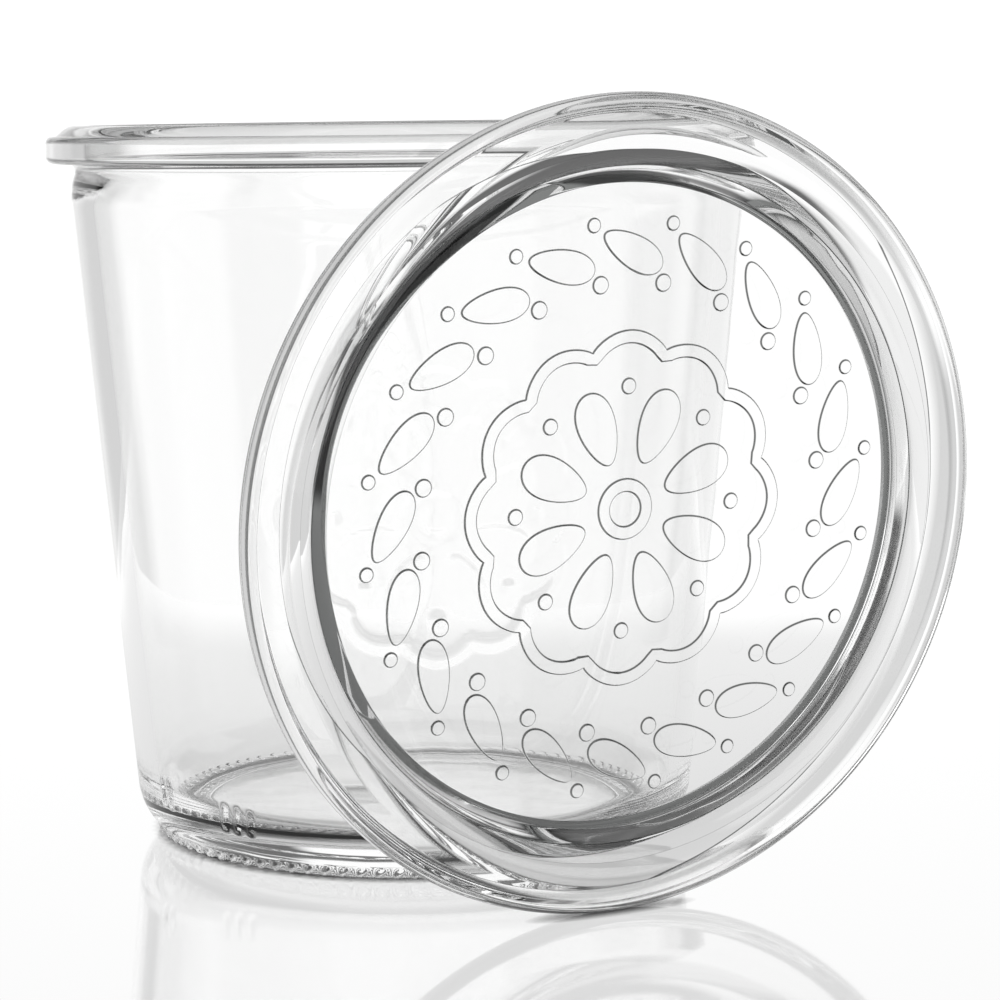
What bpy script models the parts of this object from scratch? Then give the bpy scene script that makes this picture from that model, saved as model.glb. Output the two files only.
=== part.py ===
"""A canning jar and its lid, both of pressed clear glass.

The jar stands on its knurled foot ring. Its lid stands on edge in front of it, as it is set
down while the jar is open, with its outer face to the front. Sizes are metres, +Z is up and
the front faces -Y. The origin is the middle of the floor area that the two pieces cover.
"""

import math

import bmesh
import bpy
from mathutils import Vector

# Jar: the whole
JAR_HEIGHT = 0.107
SHOULDER_RADIUS = 0.0501
FOOT_RADIUS = 0.0363
WALL = 0.0031
FLOOR_THICKNESS = 0.0050

# Jar: mouth and rim, from the inside outwards and down
NECK_WALL = 0.00195
LIP_ROUND = 0.0009
LIP_LAND_WIDTH = 0.0014
LIP_SLOPE_WIDTH = 0.0023
LIP_RISE = 0.0015
LIP_SLOPE_SHARES = ((0.15, 0.13), (0.41, 0.30), (1.0, 1.0))
RIM_OVERHANG = 0.0037
RIM_DEPTH = 0.0041
RIM_ROUND = 0.0011
SEAT_DEPTH = 0.0056

# Jar: neck, shoulder, inner floor, heel and foot
NECK_INSET = 0.00055
NECK_HEIGHT = 0.0015
NECK_FILLET = 0.0011
SHOULDER_DROP = 0.0050
INNER_HEEL_RADIUS = 0.0060
HEEL_RADIUS = 0.0094
HEEL_CUT = 0.0009
FOOT_RING_WIDTH = 0.0018
PUNT_RISE = 0.0020
PUNT_SLOPE_WIDTH = 0.0040
PUNT_SLOPE_SHARES = ((0.0, 0.0), (0.35, 0.5), (1.0, 1.0))

# Jar: the ribs of the foot ring lean round the heel; their crests' heights and rises are shares
RIB_COUNT = 90
RIB_PROUD = 0.0006
RIB_BOTTOM = 0.0003
RIB_TOP = 0.0018
RIB_LEAN_SHARE = 0.45
RIB_CREST_SHARES = ((1.0, 0.0), (0.8, 1.0), (0.25, 1.0), (0.0, 0.0))

# Lid: heights are from the plane of the parting line round its edge, outwards from there.
# The outer face has a flat panel with a low bead round it, a swelling crown with its crest,
# and a bevel to the edge.
LID_OVERHANG = 0.0018
CROWN_WIDTH = 0.0096
PANEL_LEVEL = 0.0006
PANEL_THICKNESS = 0.0043
PANEL_BEAD_WIDTH = 0.0021
PANEL_BEAD_RISE = 0.00022
CROWN_FLANK_WIDTH = 0.0022
CROWN_FLANK_LEVEL = 0.0021
CROWN_FLANK_BULGE = 0.00025
CREST_WIDTH = 0.0028
CREST_LEVEL = 0.0029
CREST_BULGE = 0.00027
BEVEL_WIDTH = 0.0033
BEVEL_LEVEL = 0.0024
EDGE_BULGE = 0.00041

# Lid, underside: edge, sealing land, the gutter inside it and the plug that centres the lid
UNDER_EDGE_INSET = 0.0014
UNDER_EDGE_LEVEL = -0.0021
UNDER_EDGE_BULGE = 0.00034
LAND_INSET = 0.0032
LAND_LEVEL = -0.0035
LAND_BEVEL_BULGE = 0.00007
LAND_WIDTH = 0.0031
PLUG_CLEARANCE = 0.0010
GUTTER_LEVEL = -0.0022
PLUG_TAPER = 0.0007
PLUG_TIP_LEVEL = -0.00645
PLUG_BULGE = 0.00016
PLUG_WIDTH = 0.0018
PLUG_INNER_LEVEL = -0.0053
PLUG_INNER_BULGE = 0.00015
PLUG_INNER_SLOPE_WIDTH = 0.00055

# Where the lid stands: how far it clears the rim, how far aside, and how it faces
LID_STANDOFF = 0.01168
LID_ASIDE = -0.00058
LID_TURN = math.radians(26.44)
LID_TIP_FORWARD = math.radians(4.28)

# Faces round the turned shapes. A quarter of the lid's are whole, so that one row stands lowest.
JAR_COLUMNS = RIB_COUNT
LID_COLUMNS = 72

CLEAR_GLASS = (0.93, 0.96, 0.95, 1.0)
GLASS_ROUGHNESS = 0.03
GLASS_IOR = 1.52
SHARP_EDGE = math.radians(35)


def arc(centre, radius, start, end, steps):
    """Points (r, z) on an arc from one angle to another, both ends included."""
    angles = [start + (end - start) * i / steps for i in range(steps + 1)]
    return [(centre[0] + radius * math.cos(a), centre[1] + radius * math.sin(a)) for a in angles]


def arched(points, end, bulge, steps):
    """Lead the points on to end, on an arc that stands out by bulge to the left of the way."""
    start, end = Vector(points[-1]), Vector(end)
    half = (end - start).length / 2
    ahead = (end - start).normalized()
    side = Vector((-ahead.y, ahead.x))
    radius = (half**2 + bulge**2) / (2 * bulge)
    reach = math.asin(half / radius)
    for i in range(1, steps + 1):
        turn = reach * (2 * i / steps - 1)
        out = radius * (math.cos(turn) - math.cos(reach))
        points.append(tuple(start + ahead * (half + radius * math.sin(turn)) + side * out))


def circle_row(radius, height, count, turn=0.0):
    """Points round the axis, the first at the given angle."""
    angles = [turn + math.tau * i / count for i in range(count)]
    return [Vector((radius * math.cos(a), radius * math.sin(a), height)) for a in angles]


def strip(bm, upper, lower):
    """Faces between two closed rows, where one may have twice as many points."""
    if len(upper) == len(lower):
        for i, corner in enumerate(upper):
            after = (i + 1) % len(upper)
            bm.faces.new((corner, upper[after], lower[after], lower[i]))
        return
    coarse, fine = (upper, lower) if len(upper) < len(lower) else (lower, upper)
    for i, corner in enumerate(coarse):
        after = coarse[(i + 1) % len(coarse)]
        first, middle, last = fine[2 * i], fine[2 * i + 1], fine[(2 * i + 2) % len(fine)]
        bm.faces.new((corner, first, middle))
        bm.faces.new((corner, middle, after))
        bm.faces.new((after, middle, last))


def turned_solid(name, first_height, rows, last_height, material):
    """A closed solid: a point on the axis, rows of points, and a point on the axis again."""
    bm = bmesh.new()
    poles = [bm.verts.new((0.0, 0.0, height)) for height in (first_height, last_height)]
    loops = [[bm.verts.new(point) for point in row] for row in rows]
    for pole, loop in zip(poles, (loops[0], loops[-1])):
        for i, corner in enumerate(loop):
            bm.faces.new((pole, corner, loop[(i + 1) % len(loop)]))
    for upper, lower in zip(loops, loops[1:]):
        strip(bm, upper, lower)
    bmesh.ops.recalc_face_normals(bm, faces=bm.faces)
    mesh = bpy.data.meshes.new(name)
    bm.to_mesh(mesh)
    bm.free()
    mesh.shade_smooth()
    mesh.set_sharp_from_angle(angle=SHARP_EDGE)
    mesh.materials.append(material)
    piece = bpy.data.objects.new(name, mesh)
    bpy.context.collection.objects.link(piece)
    return piece


def mouth_radius():
    return SHOULDER_RADIUS - NECK_INSET - NECK_WALL


def rim_radius():
    return SHOULDER_RADIUS + RIM_OVERHANG


def rim_underside():
    return JAR_HEIGHT - LIP_RISE - RIM_DEPTH


def shoulder_arc():
    """Centre, radius and first angle of the arc that swells from the neck to the shoulder."""
    height = rim_underside() - SHOULDER_DROP
    rise = SHOULDER_DROP - NECK_HEIGHT
    bend = 2 * math.atan(NECK_INSET / rise)
    radius = rise / math.sin(bend)
    return (SHOULDER_RADIUS - radius, height), radius, bend


def heel_centre():
    """The heel's arc would meet the floor at the foot radius."""
    height = HEEL_RADIUS - HEEL_CUT
    return FOOT_RADIUS - math.sqrt(HEEL_RADIUS**2 - height**2), height


def heel_angle(height):
    """Where the heel's arc has this height."""
    return -math.asin((heel_centre()[1] - height) / HEEL_RADIUS)


def wall_angle():
    """Which way the straight wall faces. It touches both the shoulder's arc and the heel's."""
    centre, radius, _ = shoulder_arc()
    up = Vector(centre) - Vector(heel_centre())
    return math.atan2(up.y, up.x) - math.acos((HEEL_RADIUS - radius) / up.length)


def wall_radius(height, inset=0.0):
    """The straight wall's radius at a height, or that of a line this far inside it."""
    centre, radius, _ = shoulder_arc()
    angle = wall_angle()
    reach = centre[0] * math.cos(angle) + centre[1] * math.sin(angle) + radius - inset
    return (reach - height * math.sin(angle)) / math.cos(angle)


def jar_bore():
    """From the floor's middle out, up the inner wall and to the seat that the plug fits."""
    angle = wall_angle()
    low = FLOOR_THICKNESS + INNER_HEEL_RADIUS
    high = JAR_HEIGHT - SEAT_DEPTH
    centre = (wall_radius(low, WALL) - INNER_HEEL_RADIUS / math.cos(angle), low)
    points = [(centre[0] / 2, FLOOR_THICKNESS)]
    points += arc(centre, INNER_HEEL_RADIUS, -math.pi / 2, angle, 7)
    for height in ((low + high) / 2, high - SEAT_DEPTH):
        points.append((wall_radius(height, WALL), height))
    points.append((mouth_radius(), high))
    return points


def jar_rim():
    """Over the lip, down to the ledge and round the rim to the neck."""
    lip = (mouth_radius() + LIP_ROUND, JAR_HEIGHT - LIP_ROUND)
    points = arc(lip, LIP_ROUND, math.pi, math.pi / 2, 3)
    land = lip[0] + LIP_LAND_WIDTH
    points.append((land, JAR_HEIGHT))
    points += [(land + LIP_SLOPE_WIDTH * a, JAR_HEIGHT - LIP_RISE * b) for a, b in LIP_SLOPE_SHARES]
    edge = rim_radius() - RIM_ROUND
    points += arc((edge, JAR_HEIGHT - LIP_RISE - RIM_ROUND), RIM_ROUND, math.pi / 2, 0, 4)
    points += arc((edge, rim_underside() + RIM_ROUND), RIM_ROUND, 0, -math.pi / 2, 4)
    fillet = (SHOULDER_RADIUS - NECK_INSET + NECK_FILLET, rim_underside() - NECK_FILLET)
    return points + arc(fillet, NECK_FILLET, math.pi / 2, math.pi, 4)


def jar_outside():
    """From the neck over the soft shoulder and down the straight wall to the knurled ring."""
    centre, radius, bend = shoulder_arc()
    points = arc(centre, radius, bend, wall_angle(), 5)
    wall_top = points[-1][1]
    wall_foot = heel_centre()[1] + HEEL_RADIUS * math.sin(wall_angle())
    for i in (1, 2):
        height = wall_top + (wall_foot - wall_top) * i / 3
        points.append((wall_radius(height), height))
    heel = arc(heel_centre(), HEEL_RADIUS, wall_angle(), heel_angle(RIB_TOP), 6)
    return points + heel[:-1]


def rib_row(height_share, proud_share):
    """A row across the ribs, crest and valley in turn, each row turned to make the ribs lean."""
    angle = heel_angle(RIB_BOTTOM + (RIB_TOP - RIB_BOTTOM) * height_share)
    turn = RIB_LEAN_SHARE * (height_share - 1) * math.tau / RIB_COUNT
    crest, valley = (
        arc(heel_centre(), HEEL_RADIUS + proud, angle, angle, 1)[0]
        for proud in (RIB_PROUD * proud_share, 0)
    )
    crests = circle_row(*crest, RIB_COUNT, turn)
    valleys = circle_row(*valley, RIB_COUNT, turn + math.pi / RIB_COUNT)
    return [point for pair in zip(crests, valleys) for point in pair]


def jar_foot():
    """The flat foot ring and the hollow under the floor."""
    inner = FOOT_RADIUS - FOOT_RING_WIDTH
    slope = [(inner - PUNT_SLOPE_WIDTH * a, PUNT_RISE * b) for a, b in PUNT_SLOPE_SHARES]
    return [(FOOT_RADIUS, 0)] + slope


def make_jar():
    rows = [circle_row(r, z, JAR_COLUMNS) for r, z in jar_bore() + jar_rim() + jar_outside()]
    rows += [rib_row(height, proud) for height, proud in RIB_CREST_SHARES]
    foot_turn = -RIB_LEAN_SHARE * math.tau / RIB_COUNT
    rows += [circle_row(r, z, JAR_COLUMNS, foot_turn) for r, z in jar_foot()]
    return turned_solid("glass_jar", FLOOR_THICKNESS, rows, PUNT_RISE, glass("jar_glass"))


def lid_face():
    """The outer face: flat panel, crown, crest, bevel, and round the edge to the parting line."""
    edge = rim_radius() + LID_OVERHANG
    panel = edge - CROWN_WIDTH
    flank = panel + CROWN_FLANK_WIDTH
    crest = flank + CREST_WIDTH
    points = [(panel / 2, PANEL_LEVEL), (panel - PANEL_BEAD_WIDTH, PANEL_LEVEL)]
    arched(points, (panel, PANEL_LEVEL), PANEL_BEAD_RISE, 3)
    arched(points, (flank, CROWN_FLANK_LEVEL), CROWN_FLANK_BULGE, 4)
    arched(points, (crest, CREST_LEVEL), CREST_BULGE, 3)
    points.append((crest + BEVEL_WIDTH, BEVEL_LEVEL))
    arched(points, (edge, 0), EDGE_BULGE, 5)
    return points


def lid_underside():
    """From the parting line to the sealing land, the gutter, the plug and the panel's back."""
    edge = rim_radius() + LID_OVERHANG
    land = edge - LAND_INSET
    root = mouth_radius() - PLUG_CLEARANCE
    tip = root - PLUG_TAPER
    inner = tip - PLUG_WIDTH
    points = [(edge, 0)]
    arched(points, (edge - UNDER_EDGE_INSET, UNDER_EDGE_LEVEL), UNDER_EDGE_BULGE, 5)
    arched(points, (land, LAND_LEVEL), LAND_BEVEL_BULGE, 2)
    points.append((land - LAND_WIDTH, LAND_LEVEL))
    points.append((root, GUTTER_LEVEL))
    arched(points, (tip, PLUG_TIP_LEVEL), PLUG_BULGE, 2)
    arched(points, (inner, PLUG_INNER_LEVEL), PLUG_INNER_BULGE, 3)
    back = PANEL_LEVEL - PANEL_THICKNESS
    return points[1:] + [(inner - PLUG_INNER_SLOPE_WIDTH, back), (inner / 2, back)]


def make_lid():
    rows = [circle_row(r, z, LID_COLUMNS) for r, z in lid_face() + lid_underside()]
    back = PANEL_LEVEL - PANEL_THICKNESS
    return turned_solid("glass_lid", PANEL_LEVEL, rows, back, glass("lid_glass"))


def glass(name):
    material = bpy.data.materials.new(name)
    material.use_nodes = True
    shader = material.node_tree.nodes["Principled BSDF"]
    shader.inputs["Base Color"].default_value = CLEAR_GLASS
    shader.inputs["Roughness"].default_value = GLASS_ROUGHNESS
    shader.inputs["Metallic"].default_value = 0.0
    shader.inputs["IOR"].default_value = GLASS_IOR
    shader.inputs["Transmission Weight"].default_value = 1.0
    material.diffuse_color = CLEAR_GLASS
    return material


def box_of(pieces):
    """The lowest and highest corner of the box round the pieces, where they stand."""
    bpy.context.view_layer.update()
    points = [piece.matrix_world @ vertex.co for piece in pieces for vertex in piece.data.vertices]
    low = Vector([min(point[axis] for point in points) for axis in range(3)])
    high = Vector([max(point[axis] for point in points) for axis in range(3)])
    return low, high


def stand_lid(lid):
    """On edge on the floor, square to the jar's axis and turned round it to the right."""
    away = rim_radius() + LID_STANDOFF
    lid.rotation_euler = (math.pi / 2 + LID_TIP_FORWARD, 0.0, LID_TURN)
    lid.location.x = away * math.sin(LID_TURN) + LID_ASIDE * math.cos(LID_TURN)
    lid.location.y = -away * math.cos(LID_TURN) + LID_ASIDE * math.sin(LID_TURN)
    lid.location.z = -box_of([lid])[0].z


def build():
    for old in list(bpy.data.objects):
        bpy.data.objects.remove(old)
    jar = make_jar()
    lid = make_lid()
    stand_lid(lid)
    low, high = box_of([jar, lid])
    origin = bpy.data.objects.new("floor_origin", None)
    origin.location = (-(low.x + high.x) / 2, -(low.y + high.y) / 2, -low.z)
    bpy.context.collection.objects.link(origin)
    for piece in (jar, lid):
        piece.parent = origin


build()
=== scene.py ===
"""The looks of the canning jar and its lid: clear pressed glass on a white, glossy table."""

import math

import bmesh
import bpy
import numpy as np
from mathutils import Matrix, Vector
from mathutils.geometry import delaunay_2d_cdt


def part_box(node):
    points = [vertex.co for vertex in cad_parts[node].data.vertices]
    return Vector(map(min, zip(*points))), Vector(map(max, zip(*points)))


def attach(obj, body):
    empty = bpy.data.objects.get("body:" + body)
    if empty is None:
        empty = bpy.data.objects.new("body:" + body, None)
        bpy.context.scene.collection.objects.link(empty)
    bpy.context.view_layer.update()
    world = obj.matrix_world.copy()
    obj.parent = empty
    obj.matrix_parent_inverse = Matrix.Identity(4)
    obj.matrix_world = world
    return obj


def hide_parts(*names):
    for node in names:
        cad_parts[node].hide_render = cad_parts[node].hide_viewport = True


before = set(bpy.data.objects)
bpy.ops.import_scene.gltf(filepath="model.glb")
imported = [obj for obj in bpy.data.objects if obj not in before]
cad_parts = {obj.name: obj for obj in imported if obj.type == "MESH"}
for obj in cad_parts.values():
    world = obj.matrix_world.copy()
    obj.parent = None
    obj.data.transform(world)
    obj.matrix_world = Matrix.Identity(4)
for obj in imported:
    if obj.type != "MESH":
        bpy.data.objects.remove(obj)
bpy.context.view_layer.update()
MM = 0.001

# The camera, from the jar's axis at the floor, in millimetres, and its frame in pixels
PHOTO_PIXELS = 1000
CAMERA_PLACE_MM = (0.0, -471.03, 108.87)
CAMERA_DOWN = 0.079777
CAMERA_ROLL = -0.011854
FOCAL_PIXELS = 3109.47
CENTRE_PIXEL = (406.07, 357.97)
SENSOR_MM = 36.0
CLIP_METRES = (0.01, 100.0)

# Jar sizes in millimetres, as in the model
JAR_HEIGHT = 107.0
SHOULDER_RADIUS = 50.1
FOOT_RADIUS = 36.3
WALL = 3.1
FLOOR_THICKNESS = 5.0
NECK_WALL = 1.95
LIP_ROUND = 0.9
LIP_LAND_WIDTH = 1.4
LIP_SLOPE_WIDTH = 2.3
LIP_RISE = 1.5
LIP_SLOPE_POWER = 1.5
RIM_OVERHANG = 3.7
RIM_DEPTH = 4.1
RIM_ROUND = 1.1
SEAT_DEPTH = 5.6
NECK_INSET = 0.55
NECK_HEIGHT = 1.5
NECK_FILLET = 1.1
SHOULDER_DROP = 5.0
INNER_HEEL_RADIUS = 6.0
HEEL_RADIUS = 9.4
HEEL_CUT = 0.9
FOOT_RING_WIDTH = 1.8
PUNT_RISE = 2.0
PUNT_SLOPE_WIDTH = 4.0

RIB_COUNT = 90
RIB_PROUD = 0.6
RIB_BOTTOM = 0.3
RIB_TOP = 1.8
RIB_LEAN_SHARE = 0.45
RIB_END_POWER = 0.5
RIB_CREST_POWER = 1.5

# Lid sizes in millimetres, as in the model; heights are from the parting line, outwards
LID_OVERHANG = 1.8
CROWN_WIDTH = 9.6
PANEL_LEVEL = 0.6
PANEL_THICKNESS = 4.3
PANEL_BEAD_WIDTH = 2.1
PANEL_BEAD_RISE = 0.22
CROWN_FLANK_WIDTH = 2.2
CROWN_FLANK_LEVEL = 2.1
CROWN_FLANK_BULGE = 0.25
CREST_WIDTH = 2.8
CREST_LEVEL = 2.9
CREST_BULGE = 0.27
BEVEL_WIDTH = 3.3
BEVEL_LEVEL = 2.4
EDGE_BULGE = 0.41
UNDER_EDGE_INSET = 1.4
UNDER_EDGE_LEVEL = -2.1
UNDER_EDGE_BULGE = 0.34
LAND_INSET = 3.2
LAND_LEVEL = -3.5
LAND_BEVEL_BULGE = 0.07
LAND_WIDTH = 3.1
PLUG_CLEARANCE = 1.0
GUTTER_LEVEL = -2.2
PLUG_TAPER = 0.7
PLUG_TIP_LEVEL = -6.45
PLUG_BULGE = 0.16
PLUG_WIDTH = 1.8
PLUG_INNER_LEVEL = -5.3
PLUG_INNER_BULGE = 0.15
PLUG_INNER_SLOPE_WIDTH = 0.55
CORNER_ROUND = 0.15

# How the lid stands: how far it clears the rim, how far aside, and how it faces
LID_STANDOFF = 11.68
LID_ASIDE = -0.58
LID_TURN = math.radians(26.44)
LID_TIP_FORWARD = math.radians(4.28)

# Raised ornament on the lid's panel, in millimetres from its middle
STROKE = 1.7
ORNAMENT_REACH = 26.0
SCALLOP_COUNT = 12
SCALLOP_RADIUS = 23.0
SCALLOP_DEPTH = 2.2
SCALLOP_POWER = 0.8
SCALLOP_POINTS = 2880
PETAL_COUNT = 8
PETAL_PLACE = 11.8
PETAL_LENGTH = 10.4
PETAL_WIDTH = 5.6
PETAL_TAPER = -0.25
DOT_PLACE = 16.6
DOT_RADIUS = 1.05
HEART_RADIUS = 4.1
WREATH_COUNT = 20
WREATH_PLACE = 34.6
WREATH_LEAN = math.radians(62)
WREATH_LEAF_LENGTH = 10.0
WREATH_LEAF_WIDTH = 4.4
WREATH_LEAF_TAPER = 0.22
BERRIES = ((30.6, 1.15), (38.6, 0.95))

# How it is raised: height and width of the sloping sides, spacing of points, the slope's shape
RELIEF_HEIGHT = 0.22
RELIEF_SLOPE = 0.28
RELIEF_STEP = 0.3
OUTLINE_POINTS = 720
SAME_PLACE = 1e-6
# Points that are neither at the foot nor at the top of a slope by more than this share get painted
# shade
FLAT_SHARE = 0.01
SLOPE_SHARES = ((0.0, 0.0), (0.25, 0.15), (0.5, 0.5), (0.75, 0.85), (1.0, 1.0))

# The same ornament on the jar's front, softer: height, width of its sides, turn and height, scale
FRONT_HEIGHT = 0.2
FRONT_SLOPE = 1.0
FRONT_PLACE = (math.radians(-86), 53.0)
FRONT_SCALE = 0.86
ROW_MM = 0.5
WALL_MATCH_MM = 0.05

# Plain raised bars on the jar's heel: turn in degrees and height of the middle, then their size,
# the heights between which the wall has rows for them, and how the outside is told from the inside
HEEL_MARKS = ((-130.0, 8.0), (-126.8, 7.8), (-123.6, 7.6), (-150.4, 9.6), (-147.6, 9.4))
MARK_HALF_WIDTH = 0.45
MARK_HALF_HEIGHT = 1.7
MARK_SOFTNESS = 0.45
MARK_PROUD = 0.35
MARK_ROWS_MM = (13.5, 7.5)
MARK_LEAST_RADIUS = FOOT_RADIUS + 1
HEEL_SKIN_MM = 0.5
WALL_SKIN_MM = 1.0

# Glass: clear, with painted shade at tight bends, in bands and on the relief's sloping sides, and
# faintly wavy
CLEAR_GLASS = (0.995, 0.996, 0.995, 1.0)
# Painted shade: the nearly black glass colour laid where a dark line or band is wanted
PAINTED_SHADE_GLASS = (0.04, 0.042, 0.041, 1.0)
TIGHT_BEND_MM = 0.4
# Each band of painted shade has its radius from and to, its level from and to, and how dark it is
# painted
JAR_PAINTED_SHADE_BANDS = (
    (47.5, 48.45, 106.2, 107.1, 0.8),
    (50.4, 53.9, 104.5, 105.4, 0.5),
    (52.6, 53.9, 101.3, 102.2, 0.7),
)
LID_PAINTED_SHADE_BANDS = (
    (45.7, 46.7, -6.5, -2.25, 1.0),
    (52.45, 53.4, -3.45, -2.6, 0.6),
    (54.2, 55.7, -1.3, -0.2, 0.7),
)
GLASS_IOR = 1.52
WAVE_SCALE = 90.0
WAVE_DETAIL = 1.0
WAVE_STRENGTH = 0.05
WAVE_DEPTH = 0.001
JAR_STREAKS = 0.12
LID_STREAKS = 1.0
LIGHT_BOUNCES = 96

# Studio, in degrees: turn from straight behind the jar towards the right, and rise from level.
# Each card has its name, turn from and to, rise from and to, and brightness; later ones cover.
BACKDROP_LEVEL = 1.12
STUDIO_LEVEL = 0.12
CARD_SOFTNESS = 6.0
CARDS = (
    ("low_surroundings", -200, 200, -90, 8, 0.85),
    ("dark_left", -82, -30, -2, 60, 0.03),
    ("backdrop", -28, 17, -90, 24, 1.05),
    ("left_low", -50, -17, -14, 10, 0.66),
    ("backdrop_right", 17, 75, -90, 10, 0.9),
    ("strip_right", 46, 76, 8, 38, 1.1),
    ("strip_left", -122, -86, 8, 40, 1.1),
    ("front_left", -180, -128, -12, 32, 1.3),
    ("front_right", 140, 180, -12, 38, 1.7),
    ("dark_right", 104, 138, -6, 20, 0.05),
    ("overhead", -200, 200, 68, 100, 1.0),
)

# Table, in millimetres from the jar's axis: left, right, front and rear edge, then the painted light
# it glows with as the glass sees it, dim in front and bright behind, and as the camera sees it
TABLE_EDGES_MM = (-600.0, 600.0, -750.0, 206.0)
TABLE_DIM_MM = -150.0
TABLE_BRIGHT_MM = 206.0
TABLE_DIM_LEVEL = 0.5
TABLE_BRIGHT_LEVEL = 0.93
TABLE_FADE_MM = 60.0
TABLE_FADE_RISE = 0.3
TABLE_CAMERA_MM = (-100.0, 206.0)
TABLE_CAMERA_LEVELS = (1.0, 1.15)
TABLE_ROUGHNESS = 0.05
TABLE_IOR = 2.5
# Painted contact shadow: ambient occlusion within this reach darkens the table's glow
CONTACT_MM = 1.6
CONTACT_SAMPLES = 4

# How finely the pieces are divided
COLUMNS = 720
SLOPE_STEPS = 8
CROWN_STEPS = 8
EDGE_STEPS = 12
BEVEL_STEPS = 4
PLUG_STEPS = 6
ARC_STEP = math.radians(3)
SUPPORT_MM = 0.2
SHARP_EDGE = math.radians(40)
SOFT_BEND = math.radians(8)
CORNER_STEP = math.radians(9)
ARC_ROOM = 0.45


def arc(centre, radius, start, end):
    """Points (r, z) on an arc, close enough together to refract smoothly."""
    steps = max(3, math.ceil(abs(end - start) / ARC_STEP))
    angles = [start + (end - start) * i / steps for i in range(steps + 1)]
    return [(centre[0] + radius * math.cos(a), centre[1] + radius * math.sin(a)) for a in angles]


def supported(profile):
    """The profile with a point near both ends of each long straight run, which keeps it flat."""
    points = [profile[0]]
    for before, after in zip(profile, profile[1:]):
        run = math.dist(before, after)
        if run < SAME_PLACE:
            continue
        if run > 3 * SUPPORT_MM:
            for share in (SUPPORT_MM / run, 1 - SUPPORT_MM / run):
                points.append(tuple(a + (b - a) * share for a, b in zip(before, after)))
        points.append(after)
    return points


def arched(start, end, bulge, steps):
    """Points after start on an arc to end that stands out by bulge to the left of the way."""
    ahead = Vector(end) - Vector(start)
    half = ahead.length / 2
    side = Vector((-ahead.y, ahead.x)).normalized()
    ahead.normalize()
    radius = (half**2 + bulge**2) / (2 * bulge)
    reach = math.asin(half / radius)
    points = []
    for i in range(1, steps + 1):
        turn = reach * (2 * i / steps - 1)
        out = radius * (math.cos(turn) - math.cos(reach))
        points.append(tuple(Vector(start) + ahead * (half + radius * math.sin(turn)) + side * out))
    return points


def closed_loop(shape, count=OUTLINE_POINTS):
    """A closed outline, evenly spaced, from a function of the turn that gives x and y."""
    turns = np.arange(count) * math.tau / count
    points = np.stack(shape(turns), axis=-1)
    steps = np.linalg.norm(np.roll(points, -1, axis=0) - points, axis=1)
    along = np.concatenate([[0], np.cumsum(steps)])
    number = max(12, round(along[-1] / RELIEF_STEP))
    wanted = np.arange(number) * along[-1] / number
    closed = np.concatenate([points, points[:1]])
    return np.stack([np.interp(wanted, along, closed[:, i]) for i in range(2)], axis=-1)


def disc(place, radius):
    return closed_loop(lambda t: (place[0] + radius * np.cos(t), place[1] + radius * np.sin(t)))


def leaf(place, facing, length, width, taper):
    """A rounded leaf whose wider end points back along facing."""
    def shape(t):
        x = length / 2 * np.cos(t)
        y = width / 2 * np.sin(t) * (1 - taper * np.cos(t))
        return (
            place[0] + x * math.cos(facing) - y * math.sin(facing),
            place[1] + x * math.sin(facing) + y * math.cos(facing),
        )
    return closed_loop(shape)


def scallops(radius, depth, number):
    """A ring of round lobes."""
    def shape(t):
        reach = radius + depth * np.abs(np.cos(t * number / 2)) ** SCALLOP_POWER - depth / 2
        return reach * np.cos(t), reach * np.sin(t)
    return closed_loop(shape, SCALLOP_POINTS)


def around(radius, turn):
    return radius * math.cos(turn), radius * math.sin(turn)


def ornament(scale=1.0):
    """Outlines of the raised shapes with the side of each that is raised: +1 inside, -1 outside."""
    ring = scallops(SCALLOP_RADIUS * scale, SCALLOP_DEPTH * scale, SCALLOP_COUNT)
    shapes = [(ring, 1), (ring_inside(ring, STROKE), -1)]
    length, width = PETAL_LENGTH * scale, PETAL_WIDTH * scale
    for i in range(PETAL_COUNT):
        turn = math.tau * (i + 0.5) / PETAL_COUNT
        shapes.append((leaf(around(PETAL_PLACE * scale, turn), turn, length, width, PETAL_TAPER), 1))
        between = math.tau * i / PETAL_COUNT
        shapes.append((disc(around(DOT_PLACE * scale, between), DOT_RADIUS * scale), 1))
    heart = disc((0.0, 0.0), HEART_RADIUS * scale)
    return shapes + [(heart, 1), (ring_inside(heart, STROKE), -1)]


def wreath():
    """Leaves and berries round the panel's border."""
    shapes = []
    for i in range(WREATH_COUNT):
        turn = math.tau * i / WREATH_COUNT
        blade = leaf(
            around(WREATH_PLACE, turn), turn + WREATH_LEAN,
            WREATH_LEAF_LENGTH, WREATH_LEAF_WIDTH, WREATH_LEAF_TAPER,
        )
        shapes.append((blade, 1))
        between = turn + math.tau / (2 * WREATH_COUNT)
        shapes += [(disc(around(place, between), radius), 1) for place, radius in BERRIES]
    return shapes


def ring_inside(loop, width):
    """The same outline, smaller all round by width."""
    return loop + inward(loop) * width


def inward(loop):
    """The inward normals of an outline that runs counterclockwise."""
    ahead = np.roll(loop, -1, axis=0) - np.roll(loop, 1, axis=0)
    left = np.stack([-ahead[:, 1], ahead[:, 0]], axis=-1)
    return left / np.linalg.norm(left, axis=1, keepdims=True)


def relief_points(shapes):
    """Nested outlines that make the sloping sides: points, heights, edges, edges of the flats."""
    points, heights, edges, creases = [], [], [], []
    for loop, side in shapes:
        for share, rise in SLOPE_SHARES:
            first = sum(len(p) for p in points)
            points.append(loop + inward(loop) * side * RELIEF_SLOPE * (share - 0.5))
            heights.append(np.full(len(loop), rise * RELIEF_HEIGHT))
            row = np.arange(len(loop)) + first
            pairs = np.stack([row, np.roll(row, -1)], axis=-1)
            edges.append(pairs)
            if share in (0.0, 1.0):
                creases.append(pairs)
    return tuple(np.concatenate(parts) for parts in (points, heights, edges, creases))


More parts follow.
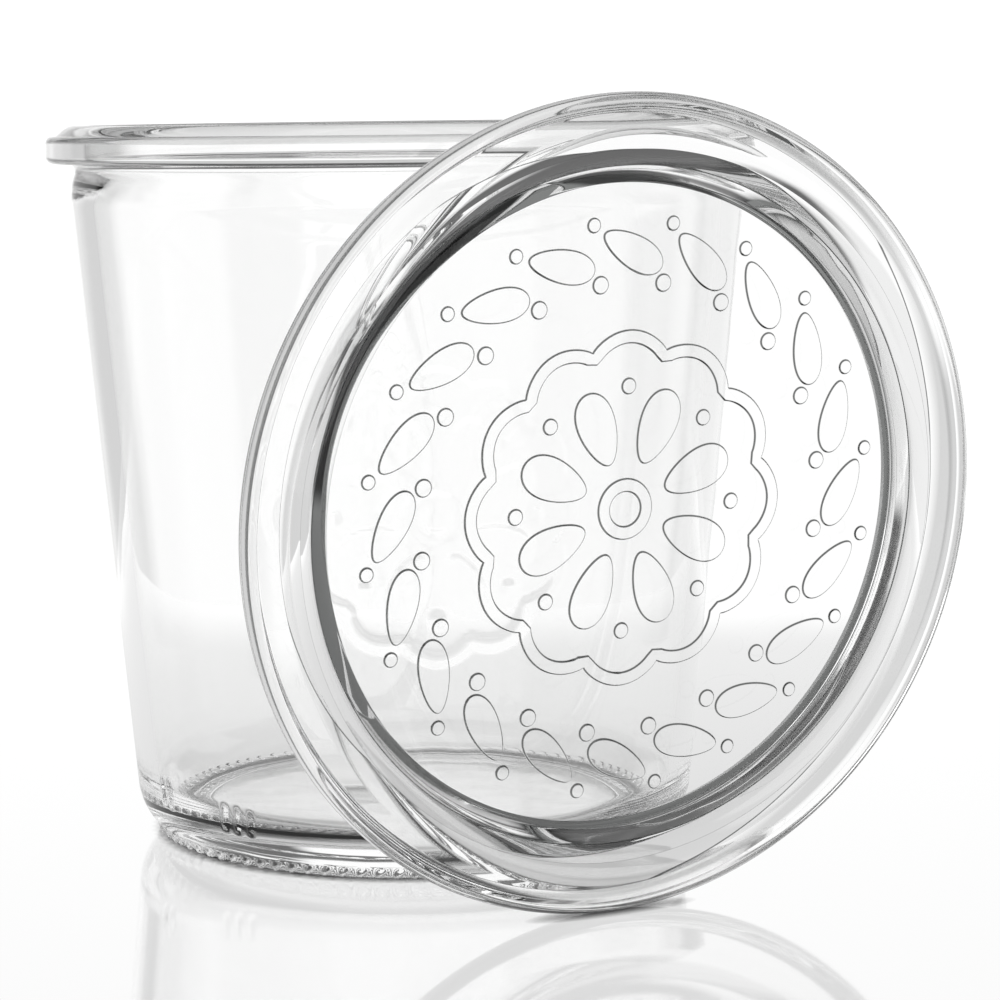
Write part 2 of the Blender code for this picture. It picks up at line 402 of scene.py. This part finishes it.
def relief_depth(x, y, shapes, slope):
    """How far points stand up, 0 to 1, with soft sides of the given width."""
    risen = np.zeros_like(x)
    for loop, side in shapes:
        near = (np.abs(x - loop[:, 0].mean()) < np.ptp(loop[:, 0]) / 2 + slope) & (
            np.abs(y - loop[:, 1].mean()) < np.ptp(loop[:, 1]) / 2 + slope
        )
        away = loop[None] - np.stack([x[near], y[near]], axis=-1)[:, None]
        distance = np.linalg.norm(away, axis=2).min(axis=1)
        after = np.roll(away, -1, axis=1)
        sweep = np.arctan2(
            away[..., 0] * after[..., 1] - away[..., 1] * after[..., 0], (away * after).sum(axis=2)
        ).sum(axis=1)
        signed = np.where(np.abs(sweep) > 1, distance, -distance)
        share = np.clip(signed / slope + 0.5, 0, 1)
        risen[near] += side * share**2 * (3 - 2 * share)
    return risen


def painted_shade_shares(profile, bands):
    """How much painted shade each inner point of a profile gets: tight bends and the bands of painted
    shade.
    """
    ahead = np.diff(np.array(profile), axis=0)
    lengths = np.linalg.norm(ahead, axis=1)
    bend = np.abs(wrapped(np.diff(np.arctan2(ahead[:, 1], ahead[:, 0]))))
    shares = (bend * TIGHT_BEND_MM > (lengths[1:] + lengths[:-1]) / 2).astype(float)
    for i, (radius, level) in enumerate(profile[1:-1]):
        for inner, outer, low, high, share in bands:
            if inner < radius < outer and low < level < high:
                shares[i] = max(shares[i], share)
    return shares


def mark_sharp(mesh, creases):
    """Mark the given edges sharp, besides those that already are."""
    ends = np.empty(len(mesh.edges) * 2, dtype=np.int32)
    mesh.edges.foreach_get("vertices", ends)
    sharp = mesh.attributes.get("sharp_edge") or mesh.attributes.new("sharp_edge", "BOOLEAN", "EDGE")
    flags = np.empty(len(mesh.edges), dtype=bool)
    sharp.data.foreach_get("value", flags)
    flags |= np.array([tuple(sorted(pair)) in creases for pair in ends.reshape(-1, 2).tolist()])
    sharp.data.foreach_set("value", flags)


def turned_mesh(name, profile, bands, detail=None, face=None):
    """A closed turned solid from (r, z) points in millimetres, first and last on the axis.

    detail moves its points outwards; face holds raised shapes for the flat round the first point.
    """
    inner = profile[1:-1]
    turns = np.arange(COLUMNS) * math.tau / COLUMNS
    radius = np.array([r for r, _ in inner])[:, None] * np.ones(COLUMNS)
    height = np.array([z for _, z in inner])[:, None] * np.ones(COLUMNS)
    if detail:
        radius, height = detail(radius, height, turns)
    grid = np.stack([radius * np.cos(turns), radius * np.sin(turns), height], axis=-1)
    points = np.concatenate(
        [[(0.0, 0.0, profile[0][1])], grid.reshape(-1, 3), [(0.0, 0.0, profile[-1][1])]]
    )
    row = np.arange(COLUMNS)
    after = (row + 1) % COLUMNS
    rows = len(inner)
    first = 1 + np.arange(rows - 1)[:, None] * COLUMNS
    quads = np.stack(
        [first + row, first + COLUMNS + row, first + COLUMNS + after, first + after], axis=-1
    ).reshape(-1, 4)
    last = 1 + (rows - 1) * COLUMNS
    caps = [(len(points) - 1, last + b, last + a) for a, b in zip(row, after)]
    # Painted shade: how dark each point is painted, at tight bends and in the bands
    lines = np.concatenate([[0.0], np.repeat(painted_shade_shares(profile, bands), COLUMNS), [0.0]])
    if face is None:
        caps += [(0, 1 + a, 1 + b) for a, b in zip(row, after)]
    else:
        extra, caps_too, creases = decorated_face(grid[0, :, :2], profile[0][1], face, len(points))
        points = np.concatenate([points, extra])
        # Painted shade: the raised shapes' sloping sides are painted dark too
        rise = (extra[:, 2] - profile[0][1]) / RELIEF_HEIGHT
        lines = np.concatenate([lines, (rise > FLAT_SHARE) & (rise < 1 - FLAT_SHARE)])
        caps += caps_too
    mesh = bpy.data.meshes.new(name)
    mesh.from_pydata((points * MM).tolist(), [], quads.tolist() + caps)
    mesh.shade_smooth()
    mesh.set_sharp_from_angle(angle=SHARP_EDGE)
    mesh.attributes.new("painted_shade_line", "FLOAT", "POINT").data.foreach_set("value", lines)
    if face is not None:
        mark_sharp(mesh, creases)
        cut_loose(mesh)
    mesh.validate()
    mesh.update()
    return mesh


def cut_loose(mesh):
    """Remove points that no face uses."""
    shape = bmesh.new()
    shape.from_mesh(mesh)
    bmesh.ops.delete(shape, geom=[v for v in shape.verts if not v.link_faces], context="VERTS")
    shape.to_mesh(mesh)
    shape.free()


def decorated_face(rim, level, shapes, first):
    """A flat face inside the rim's points, with raised shapes on it."""
    points, heights, edges, creases = relief_points(shapes)
    count = len(rim)
    row = np.arange(count)
    every = np.concatenate([rim, points])
    rises = np.concatenate([np.zeros(count), heights])
    lines = np.concatenate([np.stack([row, np.roll(row, -1)], axis=-1), edges + count])
    places, _, faces, sources, _, _ = delaunay_2d_cdt(
        [Vector(p) for p in every], lines.tolist(), [], 0, SAME_PLACE, True
    )
    index = {}
    extra = []
    for i, place in enumerate(places):
        source = sources[i][0] if sources[i] else None
        if source is not None and source < count:
            index[i] = 1 + source
        else:
            index[i] = first + len(extra)
            extra.append((place[0], place[1], level + (rises[source] if source is not None else 0.0)))
    back = {s: index[i] for i, group in enumerate(sources) for s in group}
    marked = {tuple(sorted((back[a + count], back[b + count]))) for a, b in creases.tolist()}
    return np.array(extra), [tuple(index[i] for i in corner) for corner in faces], marked


def new_object(name, mesh):
    piece = bpy.data.objects.new(name, mesh)
    bpy.context.scene.collection.objects.link(piece)
    return piece


def shoulder_arc():
    height = JAR_HEIGHT - LIP_RISE - RIM_DEPTH - SHOULDER_DROP
    rise = SHOULDER_DROP - NECK_HEIGHT
    bend = 2 * math.atan(NECK_INSET / rise)
    radius = rise / math.sin(bend)
    return (SHOULDER_RADIUS - radius, height), radius, bend


def heel_centre():
    height = HEEL_RADIUS - HEEL_CUT
    return FOOT_RADIUS - math.sqrt(HEEL_RADIUS**2 - height**2), height


def heel_angle(height):
    return -math.asin((heel_centre()[1] - height) / HEEL_RADIUS)


def wall_angle():
    centre, radius, _ = shoulder_arc()
    up = Vector(centre) - Vector(heel_centre())
    return math.atan2(up.y, up.x) - math.acos((HEEL_RADIUS - radius) / up.length)


def wall_radius(height, inset=0.0):
    centre, radius, _ = shoulder_arc()
    angle = wall_angle()
    reach = centre[0] * math.cos(angle) + centre[1] * math.sin(angle) + radius - inset
    return (reach - height * math.sin(angle)) / math.cos(angle)


def jar_profile():
    """From the middle of the inner floor over the rim to the middle of the underside."""
    angle = wall_angle()
    low = FLOOR_THICKNESS + INNER_HEEL_RADIUS
    high = JAR_HEIGHT - SEAT_DEPTH
    mouth = SHOULDER_RADIUS - NECK_INSET - NECK_WALL
    centre = (wall_radius(low, WALL) - INNER_HEEL_RADIUS / math.cos(angle), low)
    points = [(0.0, FLOOR_THICKNESS)]
    points += arc(centre, INNER_HEEL_RADIUS, -math.pi / 2, angle)
    points += [(wall_radius(high - SEAT_DEPTH, WALL), high - SEAT_DEPTH), (mouth, high)]
    lip = (mouth + LIP_ROUND, JAR_HEIGHT - LIP_ROUND)
    points += arc(lip, LIP_ROUND, math.pi, math.pi / 2)
    land = lip[0] + LIP_LAND_WIDTH
    points.append((land, JAR_HEIGHT))
    for i in range(1, SLOPE_STEPS + 1):
        share = i / SLOPE_STEPS
        points.append((land + LIP_SLOPE_WIDTH * share, JAR_HEIGHT - LIP_RISE * share**LIP_SLOPE_POWER))
    edge = SHOULDER_RADIUS + RIM_OVERHANG - RIM_ROUND
    top = JAR_HEIGHT - LIP_RISE
    under = top - RIM_DEPTH
    points += arc((edge, top - RIM_ROUND), RIM_ROUND, math.pi / 2, 0)
    points += arc((edge, under + RIM_ROUND), RIM_ROUND, 0, -math.pi / 2)
    fillet = (SHOULDER_RADIUS - NECK_INSET + NECK_FILLET, under - NECK_FILLET)
    points += arc(fillet, NECK_FILLET, math.pi / 2, math.pi)
    shoulder, shoulder_radius, bend = shoulder_arc()
    points += arc(shoulder, shoulder_radius, bend, angle)
    reach = FRONT_SCALE * ORNAMENT_REACH
    for upper, lower in ((FRONT_PLACE[1] + reach, FRONT_PLACE[1] - reach), MARK_ROWS_MM):
        for height in np.arange(upper, lower, -ROW_MM).tolist():
            points.append((wall_radius(height), height))
    heel = heel_centre()
    points += arc(heel, HEEL_RADIUS, angle, heel_angle(RIB_TOP))
    for i in range(1, SLOPE_STEPS + 1):
        turn = heel_angle(RIB_TOP + (RIB_BOTTOM - RIB_TOP) * i / SLOPE_STEPS)
        points.append((heel[0] + HEEL_RADIUS * math.cos(turn), heel[1] + HEEL_RADIUS * math.sin(turn)))
    inner = FOOT_RADIUS - FOOT_RING_WIDTH
    points += [(FOOT_RADIUS, 0.0), (inner, 0.0)]
    for i in range(1, SLOPE_STEPS + 1):
        share = i / SLOPE_STEPS
        points.append(
            (inner - PUNT_SLOPE_WIDTH * share, PUNT_RISE * (1 - math.cos(math.pi * share)) / 2)
        )
    points.append((0.0, PUNT_RISE))
    return supported(points)


def rib_rise(radius, height, turns):
    """How far the rounded ribs stand out on the foot's lower edge, leaning round it."""
    share = np.clip((height - RIB_BOTTOM) / (RIB_TOP - RIB_BOTTOM), 0, 1)
    outside = radius > FOOT_RADIUS
    window = np.where(outside & (height <= RIB_TOP), np.sin(math.pi * share) ** RIB_END_POWER, 0)
    phase = RIB_COUNT * turns - RIB_LEAN_SHARE * math.tau * (share - 1)
    return RIB_PROUD * window * (0.5 + 0.5 * np.cos(phase)) ** RIB_CREST_POWER


def front_rise(radius, height, turns):
    """How far the soft ornament stands out on the jar's front."""
    wall = np.abs(radius - wall_radius(height)) < WALL_MATCH_MM
    x = wrapped(turns - FRONT_PLACE[0]) * radius
    y = height - FRONT_PLACE[1]
    near = wall & (np.hypot(x, y) < FRONT_SCALE * ORNAMENT_REACH)
    rise = np.zeros_like(radius)
    rise[near] = relief_depth(x[near], y[near], ornament(FRONT_SCALE), FRONT_SLOPE)
    return rise * FRONT_HEIGHT


def mark_rise(radius, height, turns, place):
    """How far a raised bar stands out on the heel, with soft sides."""
    x = np.abs(wrapped(turns - math.radians(place[0])) * radius) - MARK_HALF_WIDTH
    y = np.abs(height - place[1]) - MARK_HALF_HEIGHT
    distance = np.hypot(np.maximum(x, 0), np.maximum(y, 0)) + np.minimum(np.maximum(x, y), 0)
    share = np.clip(0.5 - distance / MARK_SOFTNESS, 0, 1)
    return MARK_PROUD * share**2 * (3 - 2 * share) * outer_side(radius, height)


def outer_side(radius, height):
    """1 on the outer surface of the heel and wall, 0 on the inside."""
    middle = heel_centre()
    on_heel = np.hypot(radius - middle[0], height - middle[1]) > HEEL_RADIUS - HEEL_SKIN_MM
    on_wall = radius > wall_radius(height) - WALL_SKIN_MM
    return np.where(height < middle[1], on_heel, on_wall)


def pressed_detail(radius, height, turns):
    """The jar's points with its ribs, its front ornament and the bars on its heel."""
    away_r, away_z = (value - middle for value, middle in zip((radius, height), heel_centre()))
    length = np.hypot(away_r, away_z)
    rise = rib_rise(radius, height, turns)
    radius, height = radius + rise * away_r / length, height + rise * away_z / length
    radius = radius + front_rise(radius, height, turns)
    outside = radius > MARK_LEAST_RADIUS
    for place in HEEL_MARKS:
        rise = mark_rise(radius, height, turns, place) * outside
        radius, height = radius + rise * away_r / length, height + rise * away_z / length
    return radius, height


def wrapped(turn):
    """The same turn between minus and plus half a round."""
    return (turn + math.pi) % math.tau - math.pi


def rounded(points, radius):
    """The points with each corner turned into a small arc."""
    result = [points[0]]
    for before, corner, after in zip(points, points[1:], points[2:]):
        back = Vector(before) - Vector(corner)
        ahead = Vector(after) - Vector(corner)
        bend = math.pi - back.angle(ahead)
        if bend < SOFT_BEND:
            result.append(corner)
            continue
        room = ARC_ROOM * min(back.length, ahead.length)
        reach = min(radius * math.tan(bend / 2), room)
        first = Vector(corner) + back.normalized() * reach
        last = Vector(corner) + ahead.normalized() * reach
        steps = max(2, math.ceil(bend / CORNER_STEP))
        for i in range(steps + 1):
            share = i / steps
            inward_leg, outward_leg = first.lerp(corner, share), Vector(corner).lerp(last, share)
            result.append(tuple(inward_leg.lerp(outward_leg, share)))
    result.append(points[-1])
    return result


def lid_profile():
    """From the middle of the outer face round the edge to the middle of the underside."""
    edge = SHOULDER_RADIUS + RIM_OVERHANG + LID_OVERHANG
    panel = edge - CROWN_WIDTH
    flank = panel + CROWN_FLANK_WIDTH
    crest = flank + CREST_WIDTH
    land = edge - LAND_INSET
    root = SHOULDER_RADIUS - NECK_INSET - NECK_WALL - PLUG_CLEARANCE
    tip = root - PLUG_TAPER
    inner = tip - PLUG_WIDTH
    underside = PANEL_LEVEL - PANEL_THICKNESS
    bead = panel - PANEL_BEAD_WIDTH
    points = [(0.0, PANEL_LEVEL), (bead - SUPPORT_MM, PANEL_LEVEL), (bead, PANEL_LEVEL)]
    points += arched(points[-1], (panel, PANEL_LEVEL), PANEL_BEAD_RISE, CROWN_STEPS)
    points += arched(points[-1], (flank, CROWN_FLANK_LEVEL), CROWN_FLANK_BULGE, CROWN_STEPS)
    points += arched(points[-1], (crest, CREST_LEVEL), CREST_BULGE, CROWN_STEPS)
    points.append((crest + BEVEL_WIDTH, BEVEL_LEVEL))
    points += arched(points[-1], (edge, 0.0), EDGE_BULGE, EDGE_STEPS)
    under_edge = (edge - UNDER_EDGE_INSET, UNDER_EDGE_LEVEL)
    points += arched(points[-1], under_edge, UNDER_EDGE_BULGE, EDGE_STEPS)
    points += arched(points[-1], (land, LAND_LEVEL), LAND_BEVEL_BULGE, BEVEL_STEPS)
    points += [(land - LAND_WIDTH, LAND_LEVEL), (root, GUTTER_LEVEL)]
    points += arched(points[-1], (tip, PLUG_TIP_LEVEL), PLUG_BULGE, PLUG_STEPS)
    points += arched(points[-1], (inner, PLUG_INNER_LEVEL), PLUG_INNER_BULGE, PLUG_STEPS)
    points += [(inner - PLUG_INNER_SLOPE_WIDTH, underside), (0.0, underside)]
    profile = supported(rounded(points, CORNER_ROUND))
    # The decorated face fills the panel, so no point lies between the axis and its border
    return profile[:1] + profile[2:]


def glass(name, streak_squeeze):
    """Clear pressed glass with painted shade on its edges, and waves that a squeeze along Z turns into
    streaks.
    """
    material = bpy.data.materials.new(name)
    material.use_nodes = True
    nodes, links = material.node_tree.nodes, material.node_tree.links
    shader = nodes["Principled BSDF"]
    shader.inputs["Roughness"].default_value = 0.0
    shader.inputs["IOR"].default_value = GLASS_IOR
    shader.inputs["Transmission Weight"].default_value = 1.0
    # Painted shade: the dark glass colour is mixed into the base and specular colour by each point's
    # painted-shade share
    painted_shade_mask = nodes.new("ShaderNodeAttribute")
    painted_shade_mask.attribute_name = "painted_shade_line"
    painted_shade_mix = nodes.new("ShaderNodeMix")
    painted_shade_mix.data_type = "RGBA"
    painted_shade_mix.inputs["A"].default_value, painted_shade_mix.inputs["B"].default_value = CLEAR_GLASS, PAINTED_SHADE_GLASS
    links.new(painted_shade_mask.outputs["Fac"], painted_shade_mix.inputs["Factor"])
    links.new(painted_shade_mix.outputs["Result"], shader.inputs["Base Color"])
    links.new(painted_shade_mix.outputs["Result"], shader.inputs["Specular Tint"])
    place = nodes.new("ShaderNodeTexCoord")
    squeeze = nodes.new("ShaderNodeMapping")
    squeeze.inputs["Scale"].default_value = (1.0, 1.0, streak_squeeze)
    waves = nodes.new("ShaderNodeTexNoise")
    waves.inputs["Scale"].default_value = WAVE_SCALE
    waves.inputs["Detail"].default_value = WAVE_DETAIL
    bump = nodes.new("ShaderNodeBump")
    bump.inputs["Strength"].default_value = WAVE_STRENGTH
    bump.inputs["Distance"].default_value = WAVE_DEPTH
    links.new(place.outputs["Object"], squeeze.inputs["Vector"])
    links.new(squeeze.outputs["Vector"], waves.inputs["Vector"])
    links.new(waves.outputs["Fac"], bump.inputs["Height"])
    links.new(bump.outputs["Normal"], shader.inputs["Normal"])
    return material


class NodeSums:
    """Sums in a node tree: each call adds a node and gives its output."""

    def __init__(self, tree):
        self.nodes, self.links = tree.nodes, tree.links

    def sum(self, kind, *values):
        node = self.nodes.new("ShaderNodeMath")
        node.operation = kind
        for socket, value in zip(node.inputs, values):
            if isinstance(value, (int, float)):
                socket.default_value = value
            else:
                self.links.new(value, socket)
        return node.outputs[0]

    def ramp(self, value, start, end, low=0.0, high=1.0, kind="SMOOTHSTEP"):
        node = self.nodes.new("ShaderNodeMapRange")
        node.interpolation_type = kind
        self.links.new(value, node.inputs["Value"])
        for key, number in zip(("From Min", "From Max", "To Min", "To Max"), (start, end, low, high)):
            node.inputs[key].default_value = number
        return node.outputs["Result"]


def make_world():
    """White to the camera and to the table; through the glass, the studio and its cards."""
    world = bpy.data.worlds.new("studio")
    bpy.context.scene.world = world
    world.use_nodes = True
    tree = world.node_tree
    tree.nodes.clear()
    sums = NodeSums(tree)
    way = tree.nodes.new("ShaderNodeTexCoord")
    parts = tree.nodes.new("ShaderNodeSeparateXYZ")
    tree.links.new(way.outputs["Generated"], parts.inputs[0])
    x, y, z = parts.outputs
    turn = sums.sum("DEGREES", sums.sum("ARCTAN2", x, y))
    rise = sums.sum("DEGREES", sums.sum("ARCSINE", z))
    half_soft = CARD_SOFTNESS / 2
    level = STUDIO_LEVEL
    for _, turn_from, turn_to, rise_from, rise_to, brightness in CARDS:
        aside = sums.sum("WRAP", sums.sum("SUBTRACT", turn, (turn_from + turn_to) / 2), 180.0, -180.0)
        within = sums.sum("SUBTRACT", (turn_to - turn_from) / 2, sums.sum("ABSOLUTE", aside))
        above = sums.sum("SUBTRACT", rise, rise_from)
        below = sums.sum("SUBTRACT", rise_to, rise)
        share = sums.sum(
            "MULTIPLY",
            sums.ramp(within, -half_soft, half_soft),
            sums.ramp(sums.sum("MINIMUM", above, below), -half_soft, half_soft),
        )
        level = sums.sum("MULTIPLY_ADD", sums.sum("SUBTRACT", brightness, level), share, level)
    path = tree.nodes.new("ShaderNodeLightPath")
    from_table = sums.sum("SUBTRACT", path.outputs["Is Glossy Ray"], path.outputs["Is Singular Ray"])
    plain = sums.sum("MAXIMUM", path.outputs["Is Camera Ray"], from_table)
    shown = sums.sum("MULTIPLY_ADD", sums.sum("SUBTRACT", BACKDROP_LEVEL, level), plain, level)
    background = tree.nodes.new("ShaderNodeBackground")
    background.inputs["Color"].default_value = (1.0, 1.0, 1.0, 1.0)
    output = tree.nodes.new("ShaderNodeOutputWorld")
    tree.links.new(shown, background.inputs["Strength"])
    tree.links.new(background.outputs[0], output.inputs["Surface"])


def make_table(axis):
    """A white glossy table top whose rear edge lies behind the jar; it glows with painted light and a
    painted contact shadow.
    """
    left, right, front, rear = TABLE_EDGES_MM
    corners = [(left, front), (right, front), (right, rear), (left, rear)]
    mesh = bpy.data.meshes.new("table")
    mesh.from_pydata([(x * MM, y * MM, 0.0) for x, y in corners], [], [(0, 1, 2, 3)])
    mesh.transform(Matrix.Translation(axis))
    material = bpy.data.materials.new("table_white")
    material.use_nodes = True
    tree = material.node_tree
    tree.nodes.clear()
    sums = NodeSums(tree)
    place = tree.nodes.new("ShaderNodeTexCoord")
    parts = tree.nodes.new("ShaderNodeSeparateXYZ")
    tree.links.new(place.outputs["Object"], parts.inputs[0])
    behind = sums.sum("SUBTRACT", parts.outputs["Y"], axis.y)
    near, far = TABLE_DIM_MM * MM, TABLE_BRIGHT_MM * MM
    # Painted light: dim in front, bright behind, brighter still near the rear edge
    lit = sums.sum(
        "ADD",
        sums.ramp(behind, near, far, TABLE_DIM_LEVEL, TABLE_BRIGHT_LEVEL, "LINEAR"),
        sums.ramp(behind, far - TABLE_FADE_MM * MM, far, 0.0, TABLE_FADE_RISE),
    )
    start, end = (edge * MM for edge in TABLE_CAMERA_MM)
    plain = sums.ramp(behind, start, end, *TABLE_CAMERA_LEVELS, "LINEAR")
    path = tree.nodes.new("ShaderNodeLightPath")
    level = sums.sum(
        "MULTIPLY_ADD", sums.sum("SUBTRACT", plain, lit), path.outputs["Is Camera Ray"], lit
    )
    # Painted contact shadow near the glass, from ambient occlusion
    shade = tree.nodes.new("ShaderNodeAmbientOcclusion")
    shade.samples = CONTACT_SAMPLES
    shade.inputs["Distance"].default_value = CONTACT_MM * MM
    glow = tree.nodes.new("ShaderNodeEmission")
    tree.links.new(sums.sum("MULTIPLY", level, shade.outputs["AO"]), glow.inputs["Strength"])
    gloss = tree.nodes.new("ShaderNodeBsdfGlossy")
    gloss.inputs["Roughness"].default_value = TABLE_ROUGHNESS
    fresnel = tree.nodes.new("ShaderNodeFresnel")
    fresnel.inputs["IOR"].default_value = TABLE_IOR
    mix = tree.nodes.new("ShaderNodeMixShader")
    output = tree.nodes.new("ShaderNodeOutputMaterial")
    tree.links.new(fresnel.outputs[0], mix.inputs[0])
    tree.links.new(glow.outputs[0], mix.inputs[1])
    tree.links.new(gloss.outputs[0], mix.inputs[2])
    tree.links.new(mix.outputs[0], output.inputs["Surface"])
    mesh.materials.append(material)
    new_object("table", mesh)


def make_camera(axis):
    data = bpy.data.cameras.new("camera")
    data.sensor_width = SENSOR_MM
    data.lens = FOCAL_PIXELS / PHOTO_PIXELS * SENSOR_MM
    data.shift_x = 0.5 - CENTRE_PIXEL[0] / PHOTO_PIXELS
    data.shift_y = CENTRE_PIXEL[1] / PHOTO_PIXELS - 0.5
    data.clip_start, data.clip_end = CLIP_METRES
    camera = new_object("camera", data)
    up = Vector((0.0, math.sin(CAMERA_DOWN), math.cos(CAMERA_DOWN)))
    back = Vector((0.0, -math.cos(CAMERA_DOWN), math.sin(CAMERA_DOWN)))
    right = Vector((1.0, 0.0, 0.0))
    turned_right = right * math.cos(CAMERA_ROLL) + up * math.sin(CAMERA_ROLL)
    turned_up = up * math.cos(CAMERA_ROLL) - right * math.sin(CAMERA_ROLL)
    facing = Matrix((turned_right, turned_up, back)).transposed().to_4x4()
    camera.matrix_world = Matrix.Translation(axis + Vector(CAMERA_PLACE_MM) * MM) @ facing
    bpy.context.scene.camera = camera


def set_down(mesh, axis):
    """Bake the lid's place into its mesh: on edge on the table in front of the jar."""
    away = SHOULDER_RADIUS + RIM_OVERHANG + LID_STANDOFF
    facing = Matrix.Rotation(LID_TURN, 4, "Z")
    mesh.transform(facing @ Matrix.Rotation(math.pi / 2 + LID_TIP_FORWARD, 4, "X"))
    lowest = min(vertex.co.z for vertex in mesh.vertices)
    place = facing @ Vector((LID_ASIDE, -away, 0.0)) * MM
    mesh.transform(Matrix.Translation(axis + place - Vector((0.0, 0.0, lowest))))


def make_piece(name, mesh, material, body):
    mesh.materials.append(material)
    piece = new_object(name, mesh)
    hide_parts("glass_" + name)
    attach(piece, body)


def main():
    scene = bpy.context.scene
    scene.view_settings.view_transform = "Standard"
    scene.cycles.max_bounces = LIGHT_BOUNCES
    scene.cycles.glossy_bounces = LIGHT_BOUNCES
    scene.cycles.transmission_bounces = LIGHT_BOUNCES
    low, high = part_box("glass_jar")
    axis = Vector(((low[0] + high[0]) / 2, (low[1] + high[1]) / 2, 0.0))
    make_camera(axis)
    make_world()
    make_table(axis)

    jar = turned_mesh("jar", jar_profile(), JAR_PAINTED_SHADE_BANDS, detail=pressed_detail)
    jar.transform(Matrix.Translation(axis))
    make_piece("jar", jar, glass("jar_clear_glass", JAR_STREAKS), "jar")
    lid = turned_mesh("lid", lid_profile(), LID_PAINTED_SHADE_BANDS, face=ornament() + wreath())
    set_down(lid, axis)
    make_piece("lid", lid, glass("lid_clear_glass", LID_STREAKS), "lid")


main()
bpy.context.view_layer.update()
